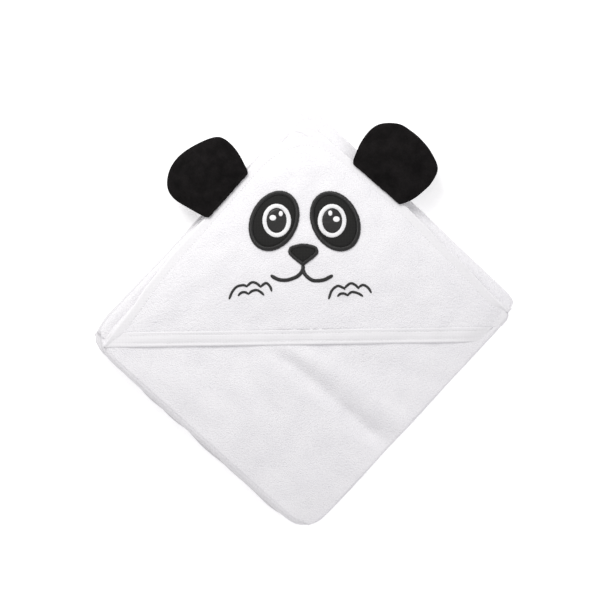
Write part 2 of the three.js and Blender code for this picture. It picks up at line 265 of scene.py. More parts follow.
def along_line(line, pitch):
    return resample(line, max(2, int(strip_lengths(line)[-1] / pitch)))


def stitches(name, line, material, long=2.0, pitch=2.9, radius=0.3):
    """A row of separate stitches that lie along a line of points."""
    grain = 0.25
    fine = along_line(line, grain)
    per, keep = int(pitch / grain), int(long / grain)
    parts = []
    for i in range(0, len(fine) - keep, per):
        run = fine[i : i + keep : 2]
        s = np.linspace(0, math.pi, len(run))
        run = run + np.array([0, 0, 1]) * (0.25 * np.sin(s))[:, None]
        parts.append(tube(run, radius * (0.35 + 0.65 * np.sin(s) ** 0.5), sides=6))
    return join_parts(name, parts, material)


# ---------------------------------------------------------------- materials
def new_material(name, color, roughness, sheen=0.0, sheen_roughness=0.5, specular=0.35):
    m = bpy.data.materials.new(name)
    m.use_nodes = True
    shader = m.node_tree.nodes["Principled BSDF"]
    shader.inputs["Base Color"].default_value = (*color, 1)
    shader.inputs["Roughness"].default_value = roughness
    shader.inputs["Sheen Weight"].default_value = sheen
    shader.inputs["Sheen Roughness"].default_value = sheen_roughness
    shader.inputs["Specular IOR Level"].default_value = specular
    return m, m.node_tree, shader


def node(tree, kind, **values):
    made = tree.nodes.new(kind)
    for key, value in values.items():
        if hasattr(made, key):
            setattr(made, key, value)
        else:
            made.inputs[key.replace("_", " ")].default_value = value
    return made


def ramp(tree, source, stops):
    made = tree.nodes.new("ShaderNodeValToRGB")
    elements = made.color_ramp.elements
    while len(elements) < len(stops):
        elements.new(0.5)
    for element, (place, color) in zip(elements, stops):
        element.position = place
        element.color = (*color, 1)
    tree.links.new(source, made.inputs[0])
    return made.outputs[0]


def bump(tree, shader, height, strength, distance, below=None):
    made = node(tree, "ShaderNodeBump", Strength=strength, Distance=distance)
    tree.links.new(height, made.inputs["Height"])
    if below is not None:
        tree.links.new(below.outputs[0], made.inputs["Normal"])
    tree.links.new(made.outputs[0], shader.inputs["Normal"])
    return made


def texture(tree, kind, **values):
    """A texture laid over a piece in the piece's own coordinates."""
    made = node(tree, "ShaderNodeTex" + kind, **values)
    where = tree.nodes.get("Texture Coordinate") or tree.nodes.new("ShaderNodeTexCoord")
    tree.links.new(where.outputs["Object"], made.inputs["Vector"])
    return made


def combine(tree, operation, one, two):
    made = node(tree, "ShaderNodeMath", operation=operation)
    tree.links.new(one, made.inputs[0])
    tree.links.new(two, made.inputs[1])
    return made.outputs[0]


def terry_material(name, light, dark, loops=850.0, strength=0.8):
    """Looped pile: small tufts that stand close together, with a little unevenness over centimetres."""
    m, tree, shader = new_material(name, light, 0.95, sheen=0.25, specular=0.15)
    tufts = texture(tree, "Voronoi", Scale=loops, Randomness=0.9)
    pile = texture(tree, "Noise", Scale=loops * 1.6, Detail=3.0, Roughness=0.6)
    broad = texture(tree, "Noise", Scale=60.0, Detail=3.0, Roughness=0.55)
    spots = ramp(tree, tufts.outputs["Distance"], [(0.0, light), (0.75, dark)])
    uneven = ramp(tree, broad.outputs["Fac"], [(0.3, (0.955, 0.955, 0.962)), (0.7, (1, 1, 1))])
    mix = node(tree, "ShaderNodeMix", data_type="RGBA", blend_type="MULTIPLY")
    mix.inputs[0].default_value = 1.0
    tree.links.new(spots, mix.inputs[6])
    tree.links.new(uneven, mix.inputs[7])
    tree.links.new(mix.outputs[2], shader.inputs["Base Color"])
    soft = bump(tree, shader, pile.outputs["Fac"], 0.5 * strength, 0.0006)
    loops_bump = bump(tree, shader, tufts.outputs["Distance"], strength, 0.0005, soft)
    loops_bump.invert = True
    return m


def woven_material(name, light, dark, threads=1500.0, strength=0.5, roughness=0.85, sheen=0.1, specular=0.25):
    """Flat woven or knitted cloth: two crossing sets of fine threads."""
    m, tree, shader = new_material(name, light, roughness, sheen=sheen, specular=specular)
    one = texture(tree, "Wave", Scale=threads / 6.3, Distortion=0.6, bands_direction="X")
    two = texture(tree, "Wave", Scale=threads / 6.3, Distortion=0.6, bands_direction="Y")
    fuzz = texture(tree, "Noise", Scale=threads, Detail=2.0)
    cross = combine(tree, "MULTIPLY", one.outputs["Fac"], two.outputs["Fac"])
    total = combine(tree, "ADD", cross, fuzz.outputs["Fac"])
    tree.links.new(ramp(tree, total, [(0.2, dark), (1.0, light)]), shader.inputs["Base Color"])
    bump(tree, shader, total, strength, 0.0003)
    return m


def fleece_material(name, light, dark, sheen):
    """Short brushed pile with faint lighter fibres."""
    m, tree, shader = new_material(name, dark, 0.9, sheen=sheen, sheen_roughness=0.4, specular=0.12)
    fine = texture(tree, "Noise", Scale=1400.0, Detail=4.0, Roughness=0.7)
    broad = texture(tree, "Noise", Scale=110.0, Detail=3.0, Roughness=0.6)
    both = combine(tree, "MULTIPLY", fine.outputs["Fac"], broad.outputs["Fac"])
    tree.links.new(ramp(tree, both, [(0.15, dark), (0.42, light)]), shader.inputs["Base Color"])
    soft = bump(tree, shader, broad.outputs["Fac"], 0.25, 0.002)
    bump(tree, shader, fine.outputs["Fac"], 0.6, 0.0005, soft)
    return m


def thread_material(name, light, dark, roughness):
    """Satin stitching: glossy thread with a slight unevenness from strand to strand."""
    m, tree, shader = new_material(name, light, roughness, sheen=0.03, specular=0.45)
    strands = texture(tree, "Noise", Scale=2600.0, Detail=2.0).outputs["Fac"]
    tree.links.new(ramp(tree, strands, [(0.3, dark), (0.7, light)]), shader.inputs["Base Color"])
    bump(tree, shader, strands, 0.35, 0.0002)
    return m


WHITE_TERRY = terry_material("white_terry", (0.91, 0.905, 0.915), (0.82, 0.812, 0.83))
WHITE_TAPE = woven_material("white_tape", (0.83, 0.825, 0.837), (0.76, 0.753, 0.768))
EAR_FABRIC = fleece_material("black_fleece", (0.0105, 0.009, 0.0092), (0.0022, 0.0018, 0.0018), 0.022)
PATCH_FABRIC = woven_material(
    "black_jersey", (0.023, 0.023, 0.022), (0.008, 0.008, 0.008), roughness=0.8, sheen=0.02, specular=0.14
)
BLACK_THREAD = thread_material("black_thread", (0.019, 0.0185, 0.018), (0.006, 0.006, 0.006), 0.34)
WHITE_THREAD = thread_material("white_thread", (0.9, 0.9, 0.9), (0.8, 0.8, 0.81), 0.5)

# ---------------------------------------------------------------- how the stack lies
# Where the folded towel's corners lie against the neat square of the frame: left, bottom, right and apex.
FRONT_SHIFT = {"left": (-3.0, -6.0), "bottom": (-3.3, -3.7), "right": (1.7, -3.0), "apex": (6.0, 1.0)}
UNDER_SHIFT = {"left": (-8.2, 2.1), "bottom": (-14.8, 6.0), "right": (4.5, 0.5), "apex": (5.5, 7.5)}
# corner, how far it is drawn in, and how wide the rounding is
BLUNT_CORNERS = [
    ((124, -131), 5.0, 13.0),
    ((-130, 136), 0.8, 11.0),
    ((-128, -131), 4.0, 13.0),
    ((123, 134), 1.0, 11.0),
]


def shift(u, v, corners):
    """How far a place moves, between the moves of the four corners."""
    a = np.clip((u + 128) / 252, -0.05, 1.05)[..., None]
    b = np.clip((v + 133) / 268, -0.05, 1.05)[..., None]
    left, bottom, right, apex = (np.array(corners[k]) for k in ("left", "bottom", "right", "apex"))
    return (left * (1 - a) + bottom * a) * (1 - b) + (apex * (1 - a) + right * a) * b


def relief(x, y):
    """How the top of the stack rises and sinks: soft waves, and the creases of the lower half."""
    below = step(-above_mouth(x, y)[1], -6, 14)
    small = 0.35 * ripple(x, y, 60, 14) + 0.2 * ripple(x, y, 26, 15)
    waves = 0.45 * ripple(x, y, 90, 5) + below * small
    creases = (
        -3.6 * ridge(x, y, (-26, -21), (60, -95), 7.5, 12)
        + 2.2 * ridge(x, y, (-2, -22), (88, -88), 10, 16)
        - 1.7 * ridge(x, y, (46, -82), (72, -104), 10, 12)
        + 1.0 * ridge(x, y, (-64, -40), (6, -136), 13, 22)
        - 0.9 * ridge(x, y, (-36, -60), (-4, -116), 7, 16)
        + 0.7 * ridge(x, y, (-112, -46), (-60, -92), 11, 20)
        - 0.7 * ridge(x, y, (60, -40), (128, -52), 10, 20)
    )
    return waves + below * creases


def settle(u, v, z):
    """Places in the neat square, as they lie in the real, slightly skewed stack."""
    u, v, z = np.broadcast_arrays(np.asarray(u, float), np.asarray(v, float), np.asarray(z, float))
    x, y = to_plan(u, v)
    f = step(z, 8.0, 20.0)[..., None]  # from UNDER_SHIFT to FRONT_SHIFT, going up
    moved = shift(u, v, UNDER_SHIFT) * (1 - f) + shift(u, v, FRONT_SHIFT) * f
    for (corner_u, corner_v), pull, width in BLUNT_CORNERS:
        near = np.exp(-((u - corner_u) ** 2 + (v - corner_v) ** 2) / width**2)
        moved = moved - near[..., None] * pull * (np.sign(corner_u) * U + np.sign(corner_v) * V)
    # beside the long folds the layers lie flat, so that each fold stays on its hinge line
    calm = step(np.minimum(v - FRONT_FOLD_V, BACK_FOLD_V - v), 12, 40)
    calm = calm + (1 - calm) * step(z, 19, 23)
    lifted = z + relief(x, y) * np.clip(z / TOP_Z, 0, 1) * calm
    return np.stack([x + moved[..., 0], y + moved[..., 1], lifted], axis=-1)


def serpentine_path(z, low, high, bend, first, last):
    """The middle line of a third's cloth in (across, height): bottom layer, bend, middle layer, bend, top
    layer. first and last say how far the bottom and the top layer's free ends stop short of the sides."""
    r = PITCH / 2
    mid = z + TERRY / 2
    turn = np.radians(np.linspace(-90, 90, 9))
    left, right = low + r + TERRY / 2, high - r - TERRY / 2
    if bend < 0:
        left, right = -right, -left
        low, high = -high, -low
    bottom = spaced(low + first, right, CLOTH_STEP)
    path = [np.stack([bottom, np.full_like(bottom, mid)], 1)[:-3]]
    path.append(np.stack([right + r * np.cos(turn), mid + r + r * np.sin(turn)], 1))
    flat = np.linspace(right, left, int((right - left) / CLOTH_STEP))[1:-1]
    path.append(np.stack([flat, np.full_like(flat, mid + PITCH)], 1))
    path.append(np.stack([left - r * np.cos(turn), mid + PITCH + r + r * np.sin(turn)], 1))
    top = spaced(left, high - last, CLOTH_STEP)
    path.append(np.stack([top, np.full_like(top, mid + 2 * PITCH)], 1)[3:])
    path = np.concatenate(path)
    path[:, 0] *= bend
    return path


def corner_ends(u, sides, v0, v1, r=8.0):
    """Where the cloth starts and ends along V at a place across it, with rounded corners."""
    d = np.clip(np.minimum(u - sides[0], sides[1] - u), 0, r)
    cut = r - np.sqrt(np.maximum(r * r - (r - d) ** 2, 0))
    return v0 + cut, v1 - cut


def hinge_ends(u, z, v0, v1, low, high):
    """Ends drawn back from the hinge lines, so that no layer crosses into the next third when the stack
    opens."""

    def drawn(v):
        x, y = to_plan(u, 0 * u + v)
        return (settle(u, 0 * u + v, z)[..., :2] - np.stack([x, y], -1)) @ V

    if v0 == FRONT_FOLD_V + FOLD_INSET:
        low = np.maximum(low, FRONT_FOLD_V + FRONT_ROOM - drawn(v0))
    if v1 == BACK_FOLD_V - FOLD_INSET:
        high = np.minimum(high, BACK_FOLD_V - BACK_ROOM - drawn(v1))
    return low, high


def third_sheet(name, z, sides, bend, v0, v1, first, last, seed):
    """The cloth of a third: one sheet, folded over itself twice."""
    path = serpentine_path(z, *sides, bend, first, last)
    s = strip_lengths(path)
    share = spaced(0, abs(v1 - v0), CLOTH_STEP)
    u, height = path[:, 0], path[:, 1]
    low, high = corner_ends(u, sides, v0, v1)
    layer = np.round((height - z) / PITCH * 2) / 2
    uneven = 1.1 * ripple(u, layer * 60, 70, seed)
    low, high = hinge_ends(u, height, v0, v1, low + uneven, high + 0.8 * uneven)
    t = share / share[-1]
    v = low[:, None] + t[None, :] * (high - low)[:, None]
    wander = 0.2 * ripple(v, height[:, None] * 8 + 0 * v, 80, seed + 1) * (np.abs(u)[:, None] > 100)
    grid = settle(u[:, None] + wander, v, height[:, None] + 0 * v)
    fuzz = 0.12 * ripple(s[:, None], v, 4.0, seed + 2)
    half = plain_half(s, share, TERRY) * (1 + fuzz / TERRY)
    return sheet_mesh(name, grid, half, WHITE_TERRY)


THIRDS = {
    "back": dict(z=0.0, sides=UNDER_U, bend=-1, v0=-134.5, v1=BACK_FOLD_V - FOLD_INSET, hem="start"),
    "middle": dict(
        z=THIRD, sides=UNDER_U, bend=1, v0=FRONT_FOLD_V + FOLD_INSET, v1=BACK_FOLD_V - FOLD_INSET, hem="none"
    ),
    "front": dict(z=2 * THIRD, sides=FRONT_U, bend=-1, v0=FRONT_FOLD_V + FOLD_INSET, v1=129.0, hem="end"),
}


def hem_strip(name, grid, s, share):
    return sheet_mesh(name, grid, plain_half(s, share, TERRY + 0.7, 1.5), WHITE_TAPE)


def build_third(name, z, sides, bend, v0, v1, hem):
    body = name + "_third"
    front = name == "front"
    tail = sides[1] - sides[0] - TOP_TAIL if front else 0.0
    under_tape = 2.0  # how far the cloth stops short of its tape's outer edge
    seed = len(name) * 11
    start = v0 + (under_tape if hem == "start" else 0)
    stop = v1 - (under_tape if hem == "end" else 0)
    last = tail if front else under_tape
    cloth = third_sheet(name + "_cloth", z, sides, bend, start, stop, under_tape, last, seed)
    piece(cloth, body, "white_terry", body + "_terry")
    if hem != "none":
        path = serpentine_path(z, *sides, bend, 0.0, tail)
        s = strip_lengths(path)
        share = spaced(0, HEM, 1.6, 1.5)
        edge = 1.1 * ripple(path[:, 0], np.round((path[:, 1] - z) / PITCH * 2) / 2 * 60, 70, seed)
        ends = corner_ends(path[:, 0], sides, v0, v1)[0 if hem == "start" else 1] + edge
        v = ends[:, None] + (share[None, :] if hem == "start" else share[None, :] - HEM)
        grid = settle(path[:, :1] + 0 * v, v, path[:, 1:] + 0 * v)
        made = hem_strip(body + "_end_tape", grid, s, share)
        piece(made, body, "white_binding", body + "_end_hem")
    for layer, side in ((0, -bend), (2, bend)):
        if front and side < 0:
            continue
        word = "left" if side < 0 else "right"
        outer = sides[0] if side < 0 else sides[1]
        across = spaced(0, HEM, 1.6, 1.5)
        u = outer - side * across[::-1]
        height = z + layer * PITCH + TERRY / 2
        low, high = hinge_ends(np.array([outer]), np.array([height]), v0, v1, np.array([v0]), np.array([v1]))
        start = float(low[0]) + (HEM_END if hem == "start" else 0)
        stop = float(high[0]) - (HEM_END if hem == "end" else 0)
        v = spaced(start, stop, CLOTH_STEP)
        grid = settle(u[:, None], v[None, :], height)
        made = hem_strip(f"{body}_side_tape_{word}", grid, across, v - v[0])
        piece(made, body, "white_binding", f"{body}_side_hem_{word}")


for third_name, third in THIRDS.items():
    build_third(third_name, **third)


# ---------------------------------------------------------------- the two long folds
def fold_sheet(name, axis_v, out, axis_z, rank, sides, bodies):
    """The cloth of one layer that turns round a long fold. rank 0 is the innermost layer."""
    radius = PITCH * (rank + 0.5)
    reach = FOLD_ROUND * (0.35 + 0.65 * rank / 2)
    base = axis_v - out * FOLD_ROUND
    turn = np.radians(np.linspace(-90, 90, 17 + 4 * rank))
    tail = FOLD_TAIL - np.array([0.0, 0.3, 1.0, 2.0, 4.0, 5.5])
    v = np.concatenate([base - out * tail, base + out * reach * np.cos(turn), base - out * tail[::-1]])
    z = np.concatenate([np.full(6, -radius), radius * np.sin(turn), np.full(6, radius)]) + axis_z
    s = strip_lengths(np.stack([v, z], 1))
    u = spaced(sides[0] + 2.0, sides[1] - 2.0, CLOTH_STEP)
    v_grid = v[:, None] + 0 * u[None, :]
    drawn_in = 2.5 if out > 0 else 5.0  # at the fold's two ends
    corner = drawn_in * (1 - edge_profile(u, 10.0))[None, :] * (out * (v[:, None] - base) > -1)
    grid = settle(u[None, :] + 0 * v_grid, v_grid - out * corner, z[:, None] + 0 * v_grid)
    grow = np.clip(np.minimum(s, s[-1] - s) / 4.0, 0, 1) ** 0.5
    half = (TERRY + 0.12) / 2 * grow[:, None] * edge_profile(u, 1.2)[None, :]
    if out > 0:
        grid, half = grid[::-1], half[::-1]
    made = sheet_mesh(name, grid, half, WHITE_TERRY)
    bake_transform(made)


FRONT_AXIS = dict(axis_v=FRONT_FOLD_V, out=-1, axis_z=2 * THIRD - GAP / 2, sides=FRONT_U)
BACK_AXIS = dict(axis_v=BACK_FOLD_V, out=1, axis_z=THIRD - GAP / 2, sides=UNDER_U)
for fold_name, axis, fold_bodies in (
    ("front_fold", FRONT_AXIS, ("middle_third", "front_third")),
    ("back_fold", BACK_AXIS, ("back_third", "middle_third")),
):
    for rank in range(3):
        fold_sheet(f"{fold_name}_cloth_{rank + 1}", rank=rank, bodies=fold_bodies, **axis)

# ---------------------------------------------------------------- the hood's outline and surface
HOOD_EDGE = np.array(
    [
        (-192, -50), (-163, -10), (-141, 20), (-119, 49), (-84.5, 88), (-47, 130), (-36, 141.5), (-24, 150),
        (-10, 156), (3, 158), (17, 156), (30, 149.5), (44, 138), (67, 118.5), (90, 98), (135, 53), (179, 7),
        (229, -45),
    ],
    float,
)


def smooth_line(points, count):
    """A smooth curve through points, evenly spaced."""
    p = np.asarray(points, float)
    p = np.concatenate([[2 * p[0] - p[1]], p, [2 * p[-1] - p[-2]]])
    out = []
    for i in range(1, len(p) - 2):
        t = np.linspace(0, 1, 24, endpoint=i == len(p) - 3)[:, None]
        a, b, c, d = p[i - 1 : i + 3]
        bend, twist = 2 * a - 5 * b + 4 * c - d, 3 * b - a - 3 * c + d
        out.append(0.5 * (2 * b + (c - a) * t + bend * t**2 + twist * t**3))
    return resample(np.concatenate(out), count)


HOOD_LINE = smooth_line(HOOD_EDGE, 500)


def distance_to_edge(x, y):
    best = np.full(np.shape(x), 1e9)
    for a, b in zip(HOOD_LINE[:-1:4], HOOD_LINE[4::4]):
        d = b - a
        t = np.clip(((x - a[0]) * d[0] + (y - a[1]) * d[1]) / (d @ d), 0, 1)
        best = np.minimum(best, np.hypot(x - a[0] - t * d[0], y - a[1] - t * d[1]))
    return best


CREASES = [
    # from, to, height in mm, width in mm: soft folds of the hood's front
    ((-35, -20), (-95, 62), -0.5, 9),
    ((-8, 2), (-60, 70), 0.5, 10),
    ((60, 118), (104, 66), -0.7, 5),
    ((74, 112), (118, 60), 0.6, 5),
    ((52, 100), (78, 60), -0.4, 4),
    ((96, 20), (112, 52), -0.5, 8),
    ((120, -5), (132, 34), 0.6, 9),
    ((-120, 15), (-80, 45), 0.5, 9),
    ((-30, 128), (20, 134), 0.4, 8),
]


def hood_top(x, y):
    """Height of the hood's outer surface."""
    d = distance_to_edge(x, y)
    m = above_mouth(x, y)[1]
    u, _ = from_plan(x, y)
    rise = HOOD_RISE * (1 - np.exp(-np.maximum(d - 2, 0) / 15))
    mouth = 0.2 + 0.8 * step(m, -4, 80)
    wrap = step(FRONT_U[1] - u, -1, 16)
    z = HOOD_EDGE_Z + rise * mouth * wrap - 1.2 * (1 - wrap)
    soft = step(d, 6, 24) * wrap
    for a, b, height, width in CREASES:
        z = z + 0.9 * height * soft * ridge(x, y, a, b, width)
    return z + soft * (0.3 * ripple(x, y, 55, 8) + 0.16 * ripple(x, y, 20, 9))


HOOD_ALONG, HOOD_UP = above_mouth(HOOD_LINE[:, 0], HOOD_LINE[:, 1])


def hood_reach(along):
    """How far up the hood reaches, for places along the mouth."""
    return np.interp(along, HOOD_ALONG, HOOD_UP)


# ---------------------------------------------------------------- the top layer: it runs on under the hood
def build_top_layer():
    """The top layer of the front third, whose upper corner is the back of the hood."""
    u = spaced(FRONT_U[0] + 1.5, FRONT_U[1] - 0.7, 2.0)
    inset = 3.4  # how far the rim stops short of the fold and of the hood's outline
    v_low = FRONT_FOLD_V + inset
    edge_u, edge_v = from_plan(*HOOD_LINE.T)
    crown = int(np.argmax(edge_v[edge_u < -100])) + int(np.flatnonzero(edge_u < -100)[0])
    order = np.flatnonzero((np.arange(len(edge_u)) > crown - 60) & (edge_v > 90))
    order = order[np.argsort(edge_u[order])]
    v_high = np.interp(u, edge_u[order], edge_v[order]) - inset
    share = np.linspace(0, 1, 132)
    share = np.concatenate([[0, 0.0008, 0.002, 0.004], share[1:-1], [0.996, 0.998, 0.9992, 1]])
    v = v_low + share[None, :] * (v_high - v_low)[:, None]
    base = settle(u[:, None] + 0 * v, v, np.full(v.shape, TOP_Z - TERRY / 2))
    x, y = base[..., 0], base[..., 1]
    m = above_mouth(x, y)[1]
    shown = step(-m, -4, 12)
    rim = np.minimum(u[-1] - u, 30)[:, None]
    rim = np.minimum(rim, v - v_low)
    under_band = 1.2 * np.exp(-(((m - 2) / 9) ** 2))  # the pile stands up against the band
    z = base[..., 2] + 0.4 * shown * step(rim, 0, 20) + under_band * step(rim, 0, 16)
    fuzz = 0.14 * ripple(x, y, 3.6, 16) + 0.1 * ripple(x, y, 2.2, 17)
    z = z + shown * 0.5
    grid = np.stack([x, y, z], axis=-1)
    half = plain_half(u - u[0], share * 262, TERRY + 0.2, 1.3) * (1 + 0.5 * fuzz)
    made = sheet_mesh("top_layer_cloth", grid, half, WHITE_TERRY)
    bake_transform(made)
    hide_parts("hood_back_panel")


build_top_layer()


# ---------------------------------------------------------------- the hood's front, its band and its seams
SIDE_U = FRONT_U[1] - 0.6  # the hood's right-hand edge lies along the stack's side
LEFT_LEAN, RIGHT_LEAN = 0.55, 0.931  # how the hood's left-hand and right-hand edges lean, per mm up


def lean_at(base):
    return LEFT_LEAN * (1 - step(base, 10, 90)) + RIGHT_LEAN * step(base, 230, BASE_END)


def hood_places(base, above, low):
    """Places of the hood: base is where a column crosses the height low, and columns lean like its edges."""
    return mouth_place(base + lean_at(base) * (above - low), above)


def side_crossing(above):
    """How far along the mouth the stack's side is, at a height above it."""
    x, y = mouth_place(0, above)
    at_start = from_plan(x, y)[0]
    return (SIDE_U - at_start) / (MOUTH_D @ U)


BASE_END = side_crossing(0.0)


def build_hood_front():
    low, inset = BAND - 2.5, 3.2
    base = spaced(16.0, side_crossing(low), 2.0)
    lean = lean_at(base)
    reach = np.full(len(base), low + 30.0)
    for _ in range(120):
        reach = 0.5 * (reach + hood_reach(base + lean * (reach - low)) - inset)
    reach = np.maximum(reach, low + 1.0)
    t = np.linspace(0, 1, 96)
    t = np.concatenate([[0, 0.002, 0.006, 0.012], t[1:-1], [0.99, 0.995, 0.998, 1]])
    x, y = hood_places(base[:, None], low + t[None, :] * (reach - low)[:, None], low)
    z = hood_top(x, y) - 0.5 * step(BAND - above_mouth(x, y)[1], -0.8, 1.2)
    fuzz = 0.14 * ripple(x, y, 3.6, 26) + 0.1 * ripple(x, y, 2.2, 27)
    half = plain_half(base - base[0], t * 150, TERRY, 1.2) * (1 + 0.5 * fuzz)
    made = sheet_mesh("hood_front_cloth", np.stack([x, y, z - TERRY / 2], -1), half, WHITE_TERRY)
    piece(made, "hood", "white_terry", "hood_front_panel")
    return made


def build_band():
    base = spaced(2.0, BASE_END, 2.5)
    across = spaced(0, BAND, 1.0, 1.5)
    x, y = hood_places(base[:, None], across[None, :] + 0.4, 0.0)
    z = hood_top(x, y)
    ends = (step(base, 2, 40) * step(BASE_END - base, 0, 26))[:, None]
    groove = -0.3 * np.exp(-(((across - 3.4) / 0.7) ** 2)) - 0.35 * np.exp(-(((across - 10.6) / 0.7) ** 2))
    roll = 0.3 * np.exp(-(((across - 1.0) / 1.3) ** 2)) + 0.22 * np.exp(-(((across - 6.8) / 2.2) ** 2))
    z = z + 0.3 * ends - 0.2 * (1 - ends) + (groove + roll)[None, :] * ends + 0.1 * ripple(x, y, 14, 33)
    half = plain_half(base - base[0], across, 2.6, 1.5)
    middle = z - 1.3 + (1.3 - half) * step(across, 7, 9)[None, :]
    middle = middle - 0.75 * step(across, BAND - 1.6, BAND)[None, :]
    made = sheet_mesh("mouth_band_cloth", np.stack([x, y, middle], -1), half, WHITE_TAPE)
    piece(made, "hood", "white_binding", "hood_mouth_band")
    rows = []
    for word, height in (("lower", 3.4), ("upper", 10.6)):
        place = np.linspace(20, BASE_END - 12, 170)
        sx, sy = hood_places(place, np.full_like(place, height + 0.4), 0.0)
        line = np.stack([sx, sy, hood_top(sx, sy) + 0.02], -1)
        row = stitches("mouth_band_stitches_" + word, line, WHITE_THREAD, radius=0.24)
        rows.append(piece(row, "hood", "white_thread", "mouth_band_stitching_" + word))
    return made, rows


def build_seam_tape(word, part):
    """A folded tape round the joined edges of the hood's two panels."""
    line = HOOD_LINE[part]
    tangent = np.gradient(line, axis=0)
    tangent /= np.linalg.norm(tangent, axis=1, keepdims=True)
    inward = np.stack([tangent[:, 1], -tangent[:, 0]], 1)
    s = strip_lengths(line)
    # the tape's section, from its lower inside edge round the outside to its upper inside edge
    turn = np.radians(np.linspace(-90, 90, 9))
    inner = np.array([SEAM_TAPE, 6.5, 4.0])
    inside = np.concatenate([inner, 1.9 - 1.9 * np.cos(turn), inner[::-1]])
    height = np.concatenate([np.full(3, -1.9), 1.9 * np.sin(turn), [1.9, 2.1, 2.4]]) + 23.8
    wave = 0.35 * ripple(s, 0 * s, 30, 41)
    from_tip = s if word == "left" else s[-1] - s
    narrow = 0.3 + 0.7 * step(from_tip, 0, 22)
    xy = line[:, None] + inward[:, None] * ((inside[None, :] + wave[:, None]) * narrow[:, None])[..., None]
    z = height[None, :] + 0 * xy[..., 0]
    over = np.arange(len(inside)) >= len(inside) - 3
    sunk = np.array([0.25, 0.3, 0.7])  # the tape's inside edge is sewn down into the pile
    z[:, over] = hood_top(xy[:, over, 0], xy[:, over, 1]) - sunk
    grid = np.concatenate([xy, z[..., None]], -1)
    sec = np.concatenate([[0], np.cumsum(np.hypot(np.diff(inside), np.diff(height)))])
    half = 0.45 * edge_profile(s, 1.0)[:, None] * edge_profile(sec, 1.0)[None, :]
    made = sheet_mesh(f"hood_seam_tape_cloth_{word}", grid, half, WHITE_TAPE)
    piece(made, "hood", "white_binding", "hood_seam_tape_" + word)
    rail = line + inward * 7.2
    rail = rail[above_mouth(rail[:, 0], rail[:, 1])[1] > 16]
    rail = lifted(rail, hood_top(rail[:, 0], rail[:, 1]) + 0.12)
    row = stitches(f"hood_seam_stitches_{word}", rail, WHITE_THREAD, radius=0.22)
    piece(row, "hood", "white_thread")
    return made, row


hood_front = build_hood_front()
band, band_rows = build_band()
on_hood = (HOOD_UP > 1) & (from_plan(HOOD_LINE[:, 0], HOOD_LINE[:, 1])[0] < FRONT_U[1] - 1)
left_tape, left_row = build_seam_tape("left", np.flatnonzero(on_hood & (HOOD_LINE[:, 0] < 9)))
right_tape, right_row = build_seam_tape("right", np.flatnonzero(on_hood & (HOOD_LINE[:, 0] > -1)))

# ---------------------------------------------------------------- the ears
EARS = {
    "left": dict(
        root=((-84.5, 88), (-47.5, 129.5)),
        outline=[
            (-47.5, 129.5), (-56.5, 146), (-67, 156.5), (-76.5, 158.5), (-92, 152.5), (-106, 143.5),
            (-114.5, 133), (-118, 121.5), (-117, 111.5), (-111, 103.5), (-99, 96), (-84.5, 88),
        ],
    ),
    "right": dict(
        root=((44, 138), (88, 99.8)),
        outline=[
            (88, 99.8), (97, 104), (106, 111), (113.5, 119), (118.5, 131.5), (112, 146.5), (103, 157.5),
            (94.5, 164.5), (86.5, 169.5), (76.5, 171), (66.5, 169.5), (58.5, 164), (50.5, 153), (44, 138),
        ],
    ),
}


